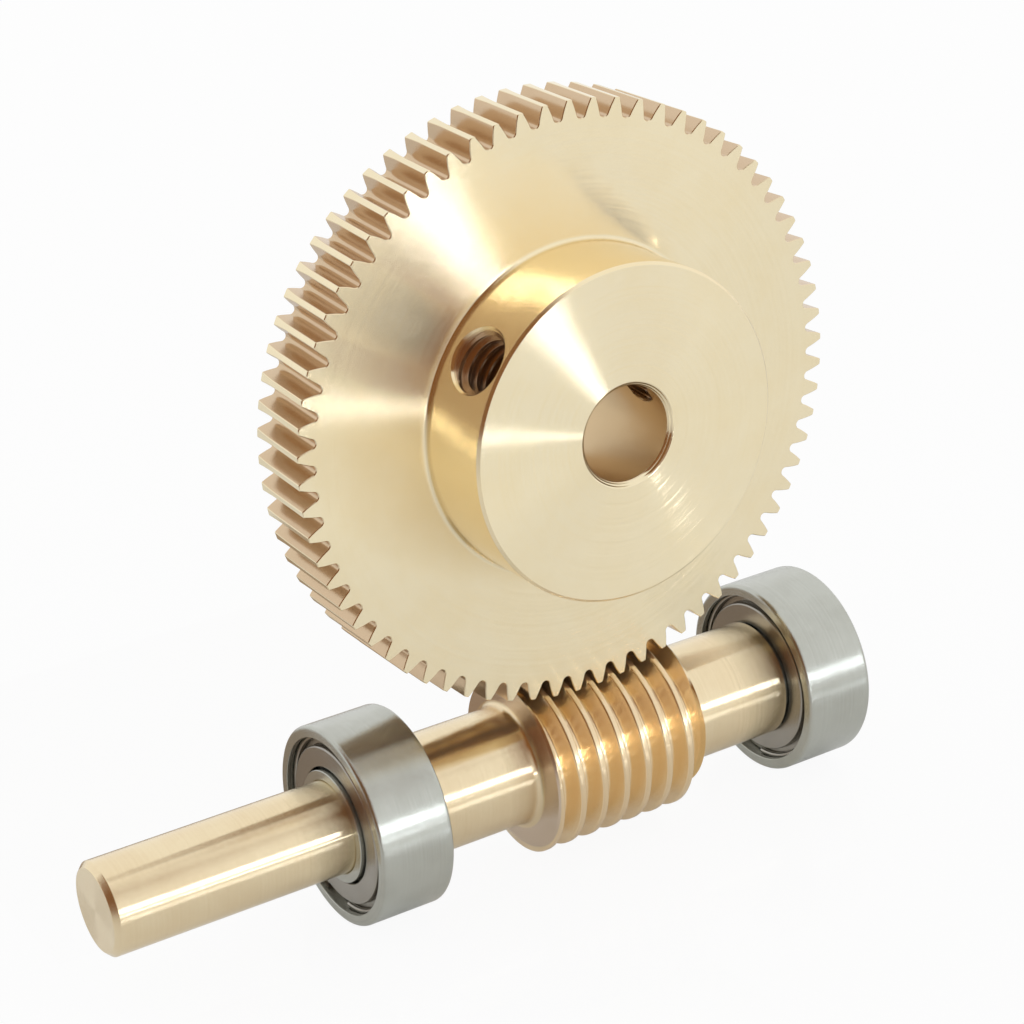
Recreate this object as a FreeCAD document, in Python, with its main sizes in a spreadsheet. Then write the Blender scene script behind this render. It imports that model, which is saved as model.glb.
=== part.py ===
import FreeCAD, Part
import math
import os

import Sketcher
from FreeCAD import Placement, Rotation, Vector

# Worm gear reducer: a single-start worm on its shaft drives a brass worm wheel across it.
# The worm shaft lies along X and runs in two shielded ball bearings. The wheel turns about
# an axis along Y, straight above the worm, with its hub towards -Y.
# The origin is the middle of the input bearing, on the worm shaft's axis. Lengths are in
# millimetres and angles in degrees.

SIZES = [
    # Teeth
    ("tooth_module", 0.5292, "tooth module: forty-eight teeth to the inch of pitch diameter"),
    ("wheel_teeth", 70, "teeth on the wheel, one of which passes for each turn of the worm"),
    ("pressure_angle", 20, "pressure angle of the teeth"),
    ("dedendum_ratio", 1.25, "depth of a tooth space below the pitch line, in modules"),
    ("flank_play", 0.05, "how much wider than its tooth each space is, at the pitch line"),
    ("centre_distance", 24, "from the worm shaft's axis up to the wheel's axis"),
    ("runout_length", 1.6, "stretch at the back where the cutter left the tooth spaces"),
    ("runout_rise", 0.2, "how much shallower the spaces are at the back face"),
    # Wheel
    ("face_width", 5, "width of the toothed rim"),
    ("hub_diameter", 21, "outside of the hub"),
    ("hub_length", 5.8, "how far the hub stands out of the rim's front face"),
    ("hub_fillet", 0.3, "round at the foot of the hub"),
    ("hub_chamfer", 0.2, "bevel round the end of the hub"),
    ("bore_diameter", 6, "bore for the output shaft"),
    ("bore_chamfer", 0.3, "bevel at each end of the bore"),
    ("screw_diameter", 4, "thread of the two set screws in the hub"),
    ("screw_sink_diameter", 4.7, "countersink round each set-screw hole"),
    ("screw_from_rim", 3.2, "set-screw holes' distance from the rim's front face"),
    ("screw_angle", 144.5, "first set-screw hole, counted from +X towards +Z"),
    ("screw_spacing", -90, "from the first set-screw hole to the second"),
    # Worm shaft
    ("journal_diameter", 6, "input stub and bearing journals"),
    ("shoulder_diameter", 7.8, "shoulders between the bearings and the worm"),
    ("stub_length", 16, "input stub outside the bearing"),
    ("shoulder_length", 8, "each shoulder"),
    ("worm_length", 11.5, "threaded length"),
    ("worm_shift", 1, "how far the worm's middle stands past the wheel's axis"),
    ("worm_fillet", 0.4, "round where a shoulder meets the worm's end face"),
    ("worm_chamfer", 0.15, "bevel at each end of the thread"),
    ("shaft_chamfer", 0.4, "bevel at each end of the shaft"),
    ("relief_inset", 0.1, "from the input bearing's outer face in to the journal's relief"),
    ("relief_width", 0.8, "relief groove between the input stub and its journal"),
    ("relief_depth", 0.2, "depth of the relief groove"),
    # Ball bearings
    ("bearing_diameter", 13, "outside of the outer rings"),
    ("bearing_width", 5, "width of both rings"),
    ("ring_chamfer", 0.25, "bevel round the outer rings"),
    ("ball_diameter", 2, "balls"),
    ("ball_count", 7, "balls in each bearing"),
    ("ball_play", 0.02, "gap between a ball and each race"),
    ("inner_race_depth", 0.37, "depth of the race in the inner ring"),
    ("outer_race_depth", 0.42, "depth of the race in the outer ring"),
    ("inner_end_wall", 0.65, "wall of the inner ring's ends, inside the shields"),
    ("inner_end_length", 0.8, "length of the inner ring's ends"),
    ("journal_play", 0.005, "gap between a journal and its inner ring"),
    ("seat_wall", 0.6, "outer ring's wall outside the recess for a shield and its wire"),
    ("seat_depth", 1.05, "depth of the recess from the ring's face"),
    ("lip_height", 0.15, "how far the lip that keeps the snap wire in stands inwards"),
    ("lip_width", 0.36, "width of that lip"),
    ("shield_thickness", 0.2, "sheet of the shields"),
    ("shield_setback", 0.25, "shield's outer face behind the ring's face"),
    ("shield_flange", 0.72, "flange of the shield, under the snap wire"),
    ("shield_play", 0.15, "gap between a shield and the inner ring"),
    ("wire_thickness", 0.36, "snap wire"),
    ("wire_bevel", 0.1, "bevel along the snap wire's edges"),
    ("wire_play", 0.03, "gap between the snap wire and its recess"),
    ("wire_opening", 24, "opening of the C-shaped snap wire"),
    ("cage_thickness", 0.15, "sheet of the cage"),
    ("cage_play", 0.25, "gap between the cage and the rings' lands"),
    ("pocket_play", 0.06, "gap between a ball and its pocket in the cage"),
]

doc = FreeCAD.newDocument("WormGearReducer")
sheet = doc.addObject("Spreadsheet::Sheet", "Sizes")
for row, (alias, value, meaning) in enumerate(SIZES, start=1):
    sheet.set("A%d" % row, meaning)
    sheet.set("B%d" % row, str(value))
    sheet.setAlias("B%d" % row, alias)
doc.recompute()

# Sizes that follow from the sheet.
WHEEL_PITCH = "(Sizes.tooth_module * Sizes.wheel_teeth / 2)"
WHEEL_TIP = "(%s + Sizes.tooth_module)" % WHEEL_PITCH
WHEEL_BASE = "(%s * cos(Sizes.pressure_angle * 1 deg))" % WHEEL_PITCH
DEDENDUM = "(Sizes.dedendum_ratio * Sizes.tooth_module)"
AXIAL_PITCH = "(pi * Sizes.tooth_module)"
WORM_PITCH = "(Sizes.centre_distance - %s)" % WHEEL_PITCH
WORM_TIP = "(%s + Sizes.tooth_module)" % WORM_PITCH
WORM_ROOT = "(%s - %s)" % (WORM_PITCH, DEDENDUM)
HALF_SPACE = "(%s / 4 + Sizes.flank_play / 2)" % AXIAL_PITCH
RIM_FRONT = "(Sizes.face_width / 2)"
HUB_END = "(%s + Sizes.hub_length)" % RIM_FRONT
WORM_START = "(Sizes.bearing_width / 2 + Sizes.shoulder_length)"
WORM_END = "(%s + Sizes.worm_length)" % WORM_START
WHEEL_PLACE = "(%s + Sizes.worm_length / 2 - Sizes.worm_shift)" % WORM_START
FAR_BEARING = "(%s + Sizes.shoulder_length + Sizes.bearing_width / 2)" % WORM_END
BALL_RADIUS = "(Sizes.ball_diameter / 2)"
BALL_PLACE = "((Sizes.journal_diameter + Sizes.bearing_diameter) / 4)"
RACE_RADIUS = "(%s + Sizes.ball_play)" % BALL_RADIUS
INNER_LAND = "(%s - %s + Sizes.inner_race_depth)" % (BALL_PLACE, RACE_RADIUS)
OUTER_LAND = "(%s + %s - Sizes.outer_race_depth)" % (BALL_PLACE, RACE_RADIUS)
INNER_END = "(Sizes.journal_diameter / 2 + Sizes.inner_end_wall)"
SEAT = "(Sizes.bearing_diameter / 2 - Sizes.seat_wall)"
WIRE_RIM = "(%s - Sizes.wire_play)" % SEAT
RING_FACE = "(Sizes.bearing_width / 2)"
SEAT_FLOOR = "(%s - Sizes.seat_depth)" % RING_FACE
SHIELD_FACE = "(%s - Sizes.shield_setback)" % RING_FACE
OVERRUN = 0.1  # how far a cutting shape reaches past the metal it cuts


def number(expression):
    """Give what an expression comes to with the sheet's present sizes."""
    result = sheet.evalExpression(expression)
    return float(getattr(result, "Value", result))


def origin_part(body, role):
    """Find a body's own origin plane or axis by its role."""
    return next(part for part in body.Origin.OriginFeatures if part.Role == role)


def new_body(label):
    """Start a sub-part whose label is the name of its file."""
    body = doc.addObject("PartDesign::Body", label)
    body.Label = label
    return body


def new_sketch(body, name, plane):
    """Attach an empty sketch to one of the body's origin planes."""
    sketch = body.newObject("Sketcher::SketchObject", name)
    sketch.AttachmentSupport = (origin_part(body, plane), [""])
    sketch.MapMode = "FlatFace"
    return sketch


def bind(feature, **expressions):
    """Tie a feature's sizes to expressions on the sheet."""
    for size, expression in expressions.items():
        feature.setExpression(size, expression)


def dimension(sketch, kind, expression, *places):
    """Add one driving dimension to a sketch and tie it to its expression."""
    constraint = Sketcher.Constraint(kind, *places, number(expression))
    index = sketch.addConstraint(constraint)
    sketch.setExpression("Constraints[%d]" % index, expression)


def place_point(sketch, geometry, vertex, across, up):
    """Hold a point of a sketch by its two distances from the origin."""
    for kind, expression, axis in (("DistanceX", across, -2), ("DistanceY", up, -1)):
        if expression == "0":
            sketch.addConstraint(Sketcher.Constraint("PointOnObject", geometry, vertex, axis))
        else:
            dimension(sketch, kind, expression, -1, 1, geometry, vertex)


def outline(body, name, plane, corners):
    """Draw a closed outline of straight lines through the corners."""
    sketch = new_sketch(body, name, plane)
    points = [Vector(number(across), number(up), 0) for across, up in corners]
    for index, start in enumerate(points):
        sketch.addGeometry(Part.LineSegment(start, points[(index + 1) % len(points)]), False)
    for index, (across, up) in enumerate(corners):
        before = (index - 1) % len(corners)
        sketch.addConstraint(Sketcher.Constraint("Coincident", before, 2, index, 1))
        place_point(sketch, index, 1, across, up)
    return sketch


def round_outline(body, name, plane, across, up, radius):
    """Draw a circle about a point."""
    sketch = new_sketch(body, name, plane)
    middle = Vector(number(across), number(up), 0)
    sketch.addGeometry(Part.Circle(middle, Vector(0, 0, 1), number(radius)), False)
    place_point(sketch, 0, 3, across, up)
    dimension(sketch, "Radius", radius, 0)
    return sketch


def turn(body, kind, name, sketch, axis, angle="360"):
    """Revolve a sketch about an axis, to add metal or to cut it away."""
    feature = body.newObject(kind, name)
    feature.Profile = sketch
    feature.ReferenceAxis = axis
    bind(feature, Angle=angle)
    return feature


def repeat_round(body, name, feature, axis, count, angle="360"):
    """Repeat a feature round an axis."""
    pattern = body.newObject("PartDesign::PolarPattern", name)
    pattern.Originals = [feature]
    pattern.Axis = (origin_part(body, axis), [""])
    bind(pattern, Occurrences=count, Angle=angle)
    body.Tip = pattern
    return pattern


def dress_circles(body, kind, name, size, size_property, circles):
    """Round or bevel the circular edges that have the given radii and places along Z or X."""
    doc.recompute()
    base = body.Tip
    edges = []
    for index, edge in enumerate(base.Shape.Edges, start=1):
        curve = edge.Curve
        if not isinstance(curve, Part.Circle):
            continue
        for radius, place in circles:
            same_radius = abs(curve.Radius - number(radius)) < 1e-4
            along = curve.Center.dot(curve.Axis) * (1 if max(curve.Axis) > 0.5 else -1)
            if same_radius and abs(along - number(place)) < 1e-4:
                edges.append("Edge%d" % index)
    feature = body.newObject(kind, name)
    feature.Base = (base, edges)
    bind(feature, **{size_property: size})
    return feature


def tooth_space(body, name, height, lift):
    """Draw one space between two wheel teeth at a height along the wheel's axis.

    The flanks are arcs about the points where the line of action touches the base circle,
    and one round root joins them. The space is turned with its height, as the teeth slant,
    and the lift moves it outwards, as where the cutter leaves the metal.
    """
    reach = "(%s / %s * 1 rad + Sizes.pressure_angle * 1 deg)" % (HALF_SPACE, WHEEL_PITCH)
    flank_across = "(%s * cos(%s) + %s)" % (WHEEL_BASE, reach, lift)
    flank_up = "(%s * sin(%s))" % (WHEEL_BASE, reach)
    flank_radius = "(%s * sin(Sizes.pressure_angle * 1 deg))" % WHEEL_PITCH
    root = "(%s - %s + %s)" % (WHEEL_PITCH, DEDENDUM, lift)
    depth = "(%s - %s)" % (flank_across, root)
    root_radius = "((%s ^ 2 + %s ^ 2 - %s ^ 2) / (2 * (%s + %s)))" % (
        depth, flank_up, flank_radius, depth, flank_radius)
    mouth = "(%s + %s)" % (WHEEL_TIP, OVERRUN)

    flank = Vector(number(flank_across), number(flank_up), 0)
    centre = Vector(number(root) + number(root_radius), 0, 0)
    slant = math.atan2(flank.y, flank.x - centre.x)
    opening = -math.acos((number(mouth) - flank.x) / number(flank_radius))
    flipped = Vector(flank.x, -flank.y, 0)
    upward = Vector(0, 0, 1)
    flank_circle = Part.Circle(flank, upward, number(flank_radius))
    root_circle = Part.Circle(centre, upward, number(root_radius))
    flipped_circle = Part.Circle(flipped, upward, number(flank_radius))
    outer = flank_circle.value(opening)

    sketch = new_sketch(body, name, "XY_Plane")
    bind(sketch, **{
        "AttachmentOffset.Base.z": height,
        "AttachmentOffset.Rotation.Angle":
            "%s * Sizes.tooth_module / (2 * %s * %s) * 180 / pi - 90" % (height, WORM_PITCH, WHEEL_PITCH),
    })
    sketch.addGeometry(Part.ArcOfCircle(flank_circle, slant - math.pi, opening), False)
    sketch.addGeometry(Part.ArcOfCircle(root_circle, slant, -slant), False)
    sketch.addGeometry(Part.ArcOfCircle(flipped_circle, -opening, math.pi - slant), False)
    sketch.addGeometry(Part.LineSegment(Vector(outer.x, -outer.y, 0), outer), False)
    place_point(sketch, 0, 3, flank_across, flank_up)
    dimension(sketch, "Radius", flank_radius, 0)
    sketch.addConstraint(Sketcher.Constraint("PointOnObject", 1, 3, -1))
    dimension(sketch, "Radius", root_radius, 1)
    sketch.addConstraint(Sketcher.Constraint("Symmetric", 0, 3, 2, 3, -1))
    sketch.addConstraint(Sketcher.Constraint("Tangent", 0, 1, 1, 1))
    sketch.addConstraint(Sketcher.Constraint("Tangent", 2, 2, 1, 2))
    sketch.addConstraint(Sketcher.Constraint("Coincident", 2, 1, 3, 1))
    sketch.addConstraint(Sketcher.Constraint("Coincident", 0, 2, 3, 2))
    sketch.addConstraint(Sketcher.Constraint("Vertical", 3))
    dimension(sketch, "DistanceX", mouth, -1, 1, 3, 2)
    return sketch


def make_wheel():
    """Worm wheel: toothed disc with a hub on one side, drawn along Z and then laid along -Y."""
    body = new_body("worm_wheel")
    back = "(0 - %s)" % RIM_FRONT
    bore = "(Sizes.bore_diameter / 2)"
    mouth = "(%s + Sizes.bore_chamfer)" % bore
    hub = "(Sizes.hub_diameter / 2)"
    blank = outline(body, "WheelSection", "XZ_Plane", [
        (mouth, back),
        (WHEEL_TIP, back),
        (WHEEL_TIP, RIM_FRONT),
        (hub, RIM_FRONT),
        (hub, "(%s - Sizes.hub_chamfer)" % HUB_END),
        ("(%s - Sizes.hub_chamfer)" % hub, HUB_END),
        (mouth, HUB_END),
        (bore, "(%s - Sizes.bore_chamfer)" % HUB_END),
        (bore, "(%s + Sizes.bore_chamfer)" % back),
    ])
    turn(body, "PartDesign::Revolution", "WheelBlank", blank, (origin_part(body, "Z_Axis"), [""]))
    dress_circles(body, "PartDesign::Fillet", "HubFoot", "Sizes.hub_fillet", "Radius",
                  [(hub, RIM_FRONT)])

    overrun = "%s" % OVERRUN
    front_space = tooth_space(body, "FrontSpace", "(%s + %s)" % (RIM_FRONT, overrun), "0")
    knee_space = tooth_space(body, "KneeSpace", "(%s + Sizes.runout_length)" % back, "0")
    back_space = tooth_space(body, "BackSpace", "(%s - %s)" % (back, overrun), "Sizes.runout_rise")
    cut = body.newObject("PartDesign::SubtractiveLoft", "ToothSpace")
    cut.Profile = front_space
    cut.Sections = [knee_space, back_space]
    cut.Ruled = True
    repeat_round(body, "ToothSpaces", cut, "Z_Axis", "Sizes.wheel_teeth")

    screw = "(Sizes.screw_diameter / 2)"
    sink = "(Sizes.screw_sink_diameter / 2)"
    hole = outline(body, "ScrewHoleSection", "XY_Plane", [
        ("0", "0"),
        ("(%s + %s)" % (hub, overrun), "0"),
        ("(%s + %s)" % (hub, overrun), "(%s + %s)" % (sink, overrun)),
        ("(%s - %s + %s)" % (hub, sink, screw), screw),
        ("0", screw),
    ])
    bind(hole, **{
        "AttachmentOffset.Base.z": "(%s + Sizes.screw_from_rim)" % RIM_FRONT,
        "AttachmentOffset.Rotation.Angle": "Sizes.screw_angle",
    })
    drilled = turn(body, "PartDesign::Groove", "ScrewHole", hole, (hole, ["H_Axis"]))
    repeat_round(body, "ScrewHoles", drilled, "Z_Axis", "2", "Sizes.screw_spacing")

    body.Placement = Placement(Vector(), Rotation(Vector(1, 0, 0), 90))
    bind(body, **{"Placement.Base.x": WHEEL_PLACE, "Placement.Base.z": "Sizes.centre_distance"})
    return body


def make_worm_shaft():
    """Worm and shaft in one piece: input stub, journal, shoulder, worm, shoulder, journal."""
    body = new_body("worm_shaft")
    journal = "(Sizes.journal_diameter / 2)"
    shoulder = "(Sizes.shoulder_diameter / 2)"
    left_end = "(0 - Sizes.bearing_width / 2 - Sizes.stub_length)"
    right_end = "(%s + %s)" % (FAR_BEARING, RING_FACE)
    left_step = RING_FACE
    right_step = "(%s - %s)" % (FAR_BEARING, RING_FACE)
    narrow = "(%s - Sizes.shaft_chamfer)" % journal
    relief = "(%s - Sizes.relief_depth)" % journal
    relief_start = "(Sizes.relief_inset - %s)" % RING_FACE
    relief_end = "(%s + Sizes.relief_width)" % relief_start
    crest = "(%s - Sizes.worm_chamfer)" % WORM_TIP
    section = outline(body, "ShaftSection", "XZ_Plane", [
        (left_end, "0"),
        (left_end, narrow),
        ("(%s + Sizes.shaft_chamfer)" % left_end, journal),
        (relief_start, journal),
        (relief_start, relief),
        (relief_end, relief),
        (relief_end, journal),
        (left_step, journal),
        (left_step, shoulder),
        (WORM_START, shoulder),
        (WORM_START, crest),
        ("(%s + Sizes.worm_chamfer)" % WORM_START, WORM_TIP),
        ("(%s - Sizes.worm_chamfer)" % WORM_END, WORM_TIP),
        (WORM_END, crest),
        (WORM_END, shoulder),
        (right_step, shoulder),
        (right_step, journal),
        ("(%s - Sizes.shaft_chamfer)" % right_end, journal),
        (right_end, narrow),
        (right_end, "0"),
    ])
    turn(body, "PartDesign::Revolution", "ShaftBlank", section, (origin_part(body, "X_Axis"), [""]))
    dress_circles(body, "PartDesign::Fillet", "WormFoot", "Sizes.worm_fillet", "Radius",
                  [(shoulder, WORM_START), (shoulder, WORM_END)])

    # The thread's space is cut between crests. One crest stands straight above the shaft in
    # the wheel's middle plane at rest, so the first space lies a whole number of pitches
    # and a half before it, just outside the worm's end.
    turns_before = "(floor((%s - %s) / %s) + 2.5)" % (WHEEL_PLACE, WORM_START, AXIAL_PITCH)
    start = "(%s - %s * %s)" % (WHEEL_PLACE, turns_before, AXIAL_PITCH)
    slope = "tan(Sizes.pressure_angle * 1 deg)"
    outer = "(%s + %s)" % (WORM_TIP, OVERRUN)
    half_top = "(%s + (%s - %s) * %s)" % (HALF_SPACE, outer, WORM_PITCH, slope)
    half_root = "(%s - %s * %s)" % (HALF_SPACE, DEDENDUM, slope)
    space = outline(body, "ThreadSection", "XZ_Plane", [
        ("(%s - %s)" % (start, half_top), outer),
        ("(%s - %s)" % (start, half_root), WORM_ROOT),
        ("(%s + %s)" % (start, half_root), WORM_ROOT),
        ("(%s + %s)" % (start, half_top), outer),
    ])
    thread = body.newObject("PartDesign::SubtractiveHelix", "Thread")
    thread.Profile = space
    thread.ReferenceAxis = (origin_part(body, "X_Axis"), [""])
    thread.Mode = "pitch-height-angle"
    bind(thread, Pitch=AXIAL_PITCH, Height="(%s - %s + %s)" % (WORM_END, start, AXIAL_PITCH))
    return body


def make_outer_ring(label):
    """Outer ring: one race inside, and at each face a recess for a shield and its wire."""
    body = new_body(label)
    outside = "(Sizes.bearing_diameter / 2)"
    bevelled = "(%s - Sizes.ring_chamfer)" % outside
    lip = "(%s - Sizes.lip_height)" % SEAT
    lip_foot = "(%s - Sizes.lip_width)" % RING_FACE
    bevel = "(%s - Sizes.ring_chamfer)" % RING_FACE
    half = [
        (lip, RING_FACE),
        (lip, lip_foot),
        (SEAT, lip_foot),
        (SEAT, SEAT_FLOOR),
        (OUTER_LAND, SEAT_FLOOR),
    ]
    corners = [(place, radius) for radius, place in half]
    corners += [("(0 - %s)" % place, radius) for radius, place in reversed(half)]
    corners += [
        ("(0 - %s)" % RING_FACE, bevelled),
        ("(0 - %s)" % bevel, outside),
        (bevel, outside),
        (RING_FACE, bevelled),
    ]
    section = outline(body, "RingSection", "XZ_Plane", corners)
    turn(body, "PartDesign::Revolution", "Ring", section, (origin_part(body, "X_Axis"), [""]))
    race = round_outline(body, "RaceSection", "XZ_Plane", "0", BALL_PLACE, RACE_RADIUS)
    turn(body, "PartDesign::Groove", "Race", race, (origin_part(body, "X_Axis"), [""]))
    return body


def make_inner_ring(label):
    """Inner ring: a race outside, stepped down at each end so that the shields clear it."""
    body = new_body(label)
    bore = "(Sizes.journal_diameter / 2 + Sizes.journal_play)"
    step_foot = "(%s - Sizes.inner_end_length)" % RING_FACE
    section = outline(body, "RingSection", "XZ_Plane", [
        (RING_FACE, bore),
        (RING_FACE, INNER_END),
        (step_foot, INNER_END),
        (step_foot, INNER_LAND),
        ("(0 - %s)" % step_foot, INNER_LAND),
        ("(0 - %s)" % step_foot, INNER_END),
        ("(0 - %s)" % RING_FACE, INNER_END),
        ("(0 - %s)" % RING_FACE, bore),
    ])
    turn(body, "PartDesign::Revolution", "Ring", section, (origin_part(body, "X_Axis"), [""]))
    race = round_outline(body, "RaceSection", "XZ_Plane", "0", BALL_PLACE, RACE_RADIUS)
    turn(body, "PartDesign::Groove", "Race", race, (origin_part(body, "X_Axis"), [""]))
    return body


def make_shield(label):
    """Pressed shield: a flange in the ring's recess and a raised flat disc inside it."""
    body = new_body(label)
    step = "(%s - Sizes.shield_flange)" % WIRE_RIM
    inner = "(%s + Sizes.shield_play)" % INNER_END
    flange = "(%s + Sizes.shield_thickness)" % SEAT_FLOOR
    underside = "(%s - Sizes.shield_thickness)" % SHIELD_FACE
    section = outline(body, "ShieldSection", "XZ_Plane", [
        (SEAT_FLOOR, "(%s - Sizes.shield_thickness)" % step),
        (SEAT_FLOOR, WIRE_RIM),
        (flange, WIRE_RIM),
        (flange, step),
        (SHIELD_FACE, step),
        (SHIELD_FACE, inner),
        (underside, inner),
        (underside, "(%s - Sizes.shield_thickness)" % step),
    ])
    turn(body, "PartDesign::Revolution", "Sheet", section, (origin_part(body, "X_Axis"), [""]))
    return body


def make_snap_wire(label):
    """C-shaped wire, square with bevelled edges, that springs out under the lip."""
    body = new_body(label)
    near = "(%s + Sizes.shield_thickness)" % SEAT_FLOOR
    far = "(%s + Sizes.wire_thickness)" % near
    inside = "(%s - Sizes.wire_thickness)" % WIRE_RIM
    section = outline(body, "WireSection", "XZ_Plane", [
        (near, "(%s + Sizes.wire_bevel)" % inside),
        (near, "(%s - Sizes.wire_bevel)" % WIRE_RIM),
        ("(%s + Sizes.wire_bevel)" % near, WIRE_RIM),
        ("(%s - Sizes.wire_bevel)" % far, WIRE_RIM),
        (far, "(%s - Sizes.wire_bevel)" % WIRE_RIM),
        (far, "(%s + Sizes.wire_bevel)" % inside),
        ("(%s - Sizes.wire_bevel)" % far, inside),
        ("(%s + Sizes.wire_bevel)" % near, inside),
    ])
    turn(body, "PartDesign::Revolution", "Wire", section, (origin_part(body, "X_Axis"), [""]),
         "360 - Sizes.wire_opening")
    return body


def make_cage_half(label):
    """One pressed half of the cage: a flat ring, bent into a half-round cup over each ball."""
    body = new_body(label)
    inner = "(%s + Sizes.cage_play)" % INNER_LAND
    outer = "(%s - Sizes.cage_play)" % OUTER_LAND
    pocket = "(%s + Sizes.pocket_play)" % BALL_RADIUS
    cup = "(%s + Sizes.cage_thickness)" % pocket
    flat = outline(body, "FlatSection", "XZ_Plane", [
        ("0", inner),
        ("Sizes.cage_thickness", inner),
        ("Sizes.cage_thickness", outer),
        ("0", outer),
    ])
    turn(body, "PartDesign::Revolution", "Flat", flat, (origin_part(body, "X_Axis"), [""]))

    bend = new_sketch(body, "CupSection", "XY_Plane")
    bind(bend, **{"AttachmentOffset.Base.z": inner})
    rim = Part.Circle(Vector(), Vector(0, 0, 1), number(cup))
    bend.addGeometry(Part.ArcOfCircle(rim, -math.pi / 2, math.pi / 2), False)
    bend.addGeometry(Part.LineSegment(rim.value(math.pi / 2), rim.value(-math.pi / 2)), False)
    bend.addConstraint(Sketcher.Constraint("Coincident", 0, 3, -1, 1))
    bend.addConstraint(Sketcher.Constraint("PointOnObject", 0, 1, -2))
    bend.addConstraint(Sketcher.Constraint("PointOnObject", 0, 2, -2))
    bend.addConstraint(Sketcher.Constraint("Coincident", 0, 2, 1, 1))
    bend.addConstraint(Sketcher.Constraint("Coincident", 0, 1, 1, 2))
    dimension(bend, "Radius", cup, 0)
    cups = body.newObject("PartDesign::Pad", "Cup")
    cups.Profile = bend
    bind(cups, Length="(sqrt(%s ^ 2 - %s ^ 2) - %s)" % (outer, cup, inner))
    repeat_round(body, "Cups", cups, "X_Axis", "Sizes.ball_count")

    hole = round_outline(body, "PocketSection", "XY_Plane", "0", "0", pocket)
    hollow = body.newObject("PartDesign::Pocket", "Pocket")
    hollow.Profile = hole
    hollow.Reversed = True
    bind(hollow, Length="(%s + %s)" % (outer, OVERRUN))
    repeat_round(body, "Pockets", hollow, "X_Axis", "Sizes.ball_count")
    return body


def make_balls(label):
    """The bearing's balls, evenly round the shaft, as one group of separate solids."""
    balls = []
    for index in range(int(number("Sizes.ball_count"))):
        ball = doc.addObject("Part::Sphere", "Ball")
        angle = "(%d * 360 deg / Sizes.ball_count)" % index
        bind(ball, **{
            "Radius": BALL_RADIUS,
            "Placement.Base.y": "0 - %s * sin(%s)" % (BALL_PLACE, angle),
            "Placement.Base.z": "%s * cos(%s)" % (BALL_PLACE, angle),
        })
        balls.append(ball)
    group = doc.addObject("Part::Compound", label)
    group.Label = label
    group.Links = balls
    return group


def make_bearing(name, place):
    """Shielded ball bearing about the shaft, with its middle at a place along the shaft."""
    upright = Rotation()
    turned_round = Rotation(Vector(0, 0, 1), 180)
    pieces = [
        (make_outer_ring(name + "_outer_ring"), upright),
        (make_inner_ring(name + "_inner_ring"), upright),
        (make_shield(name + "_input_side_shield"), turned_round),
        (make_shield(name + "_far_side_shield"), upright),
        (make_snap_wire(name + "_input_side_snap_wire"), turned_round),
        (make_snap_wire(name + "_far_side_snap_wire"), upright),
        (make_cage_half(name + "_input_side_cage_half"), turned_round),
        (make_cage_half(name + "_far_side_cage_half"), upright),
        (make_balls(name + "_balls"), upright),
    ]
    for piece, way_round in pieces:
        piece.Placement = Placement(Vector(), way_round)
        bind(piece, **{"Placement.Base.x": place})
    return [piece for piece, way_round in pieces]


nodes = [make_wheel(), make_worm_shaft()]
nodes += make_bearing("input_bearing", "0")
nodes += make_bearing("far_bearing", FAR_BEARING)
doc.recompute()

for item in doc.Objects:
    if "Invalid" in item.State or "Error" in item.State:
        raise RuntimeError("%s did not build: %s" % (item.Label, item.State))
for node in nodes:
    if node.Shape.isNull() or not node.Shape.isValid():
        raise RuntimeError("%s has no sound shape" % node.Label)

os.makedirs("parts", exist_ok=True)
for node in nodes:
    node.Shape.exportStep(os.path.join("parts", node.Label + ".step"))
    box = node.Shape.BoundBox
    print("%-40s solids %2d  volume %9.3f  x %7.3f to %7.3f  z %7.3f to %7.3f" % (
        node.Label, len(node.Shape.Solids), node.Shape.Volume,
        box.XMin, box.XMax, box.ZMin, box.ZMax))
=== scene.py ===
# Worm gear reducer: brass worm wheel, brass worm shaft and two shielded ball bearings.
import math

import bmesh
import bpy
from mathutils import Matrix, Vector


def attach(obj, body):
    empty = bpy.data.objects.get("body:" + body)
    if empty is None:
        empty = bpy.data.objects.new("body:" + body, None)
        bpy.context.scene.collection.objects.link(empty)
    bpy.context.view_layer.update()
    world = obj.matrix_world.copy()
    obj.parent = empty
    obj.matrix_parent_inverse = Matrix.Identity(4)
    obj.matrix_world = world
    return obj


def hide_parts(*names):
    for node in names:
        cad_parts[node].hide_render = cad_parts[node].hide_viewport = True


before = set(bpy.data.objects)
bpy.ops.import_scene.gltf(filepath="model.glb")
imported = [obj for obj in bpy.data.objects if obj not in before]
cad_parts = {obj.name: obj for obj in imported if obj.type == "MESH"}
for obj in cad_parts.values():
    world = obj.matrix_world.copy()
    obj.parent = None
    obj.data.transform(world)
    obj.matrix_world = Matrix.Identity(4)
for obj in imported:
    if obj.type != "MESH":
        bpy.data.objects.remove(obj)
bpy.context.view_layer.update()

# Sizes in millimetres, the same as in the part's source.
MM = 0.001
MERGE = 1e-7
SHARP = 32

# Toothing. Each space is cut wider by the play.
MODULE = 0.5292
TEETH = 70
PRESSURE = math.radians(20)
DEDENDUM = 1.25 * MODULE
PITCH = math.pi * MODULE
PLAY = 0.025
HALF_SPACE = PITCH / 4 + PLAY
CENTRE_DISTANCE = 24
WHEEL_PITCH = MODULE * TEETH / 2
WHEEL_TIP = WHEEL_PITCH + MODULE
WHEEL_BASE = WHEEL_PITCH * math.cos(PRESSURE)
WORM_PITCH = CENTRE_DISTANCE - WHEEL_PITCH
WORM_TIP = WORM_PITCH + MODULE
WORM_ROOT = WORM_PITCH - DEDENDUM

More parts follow.
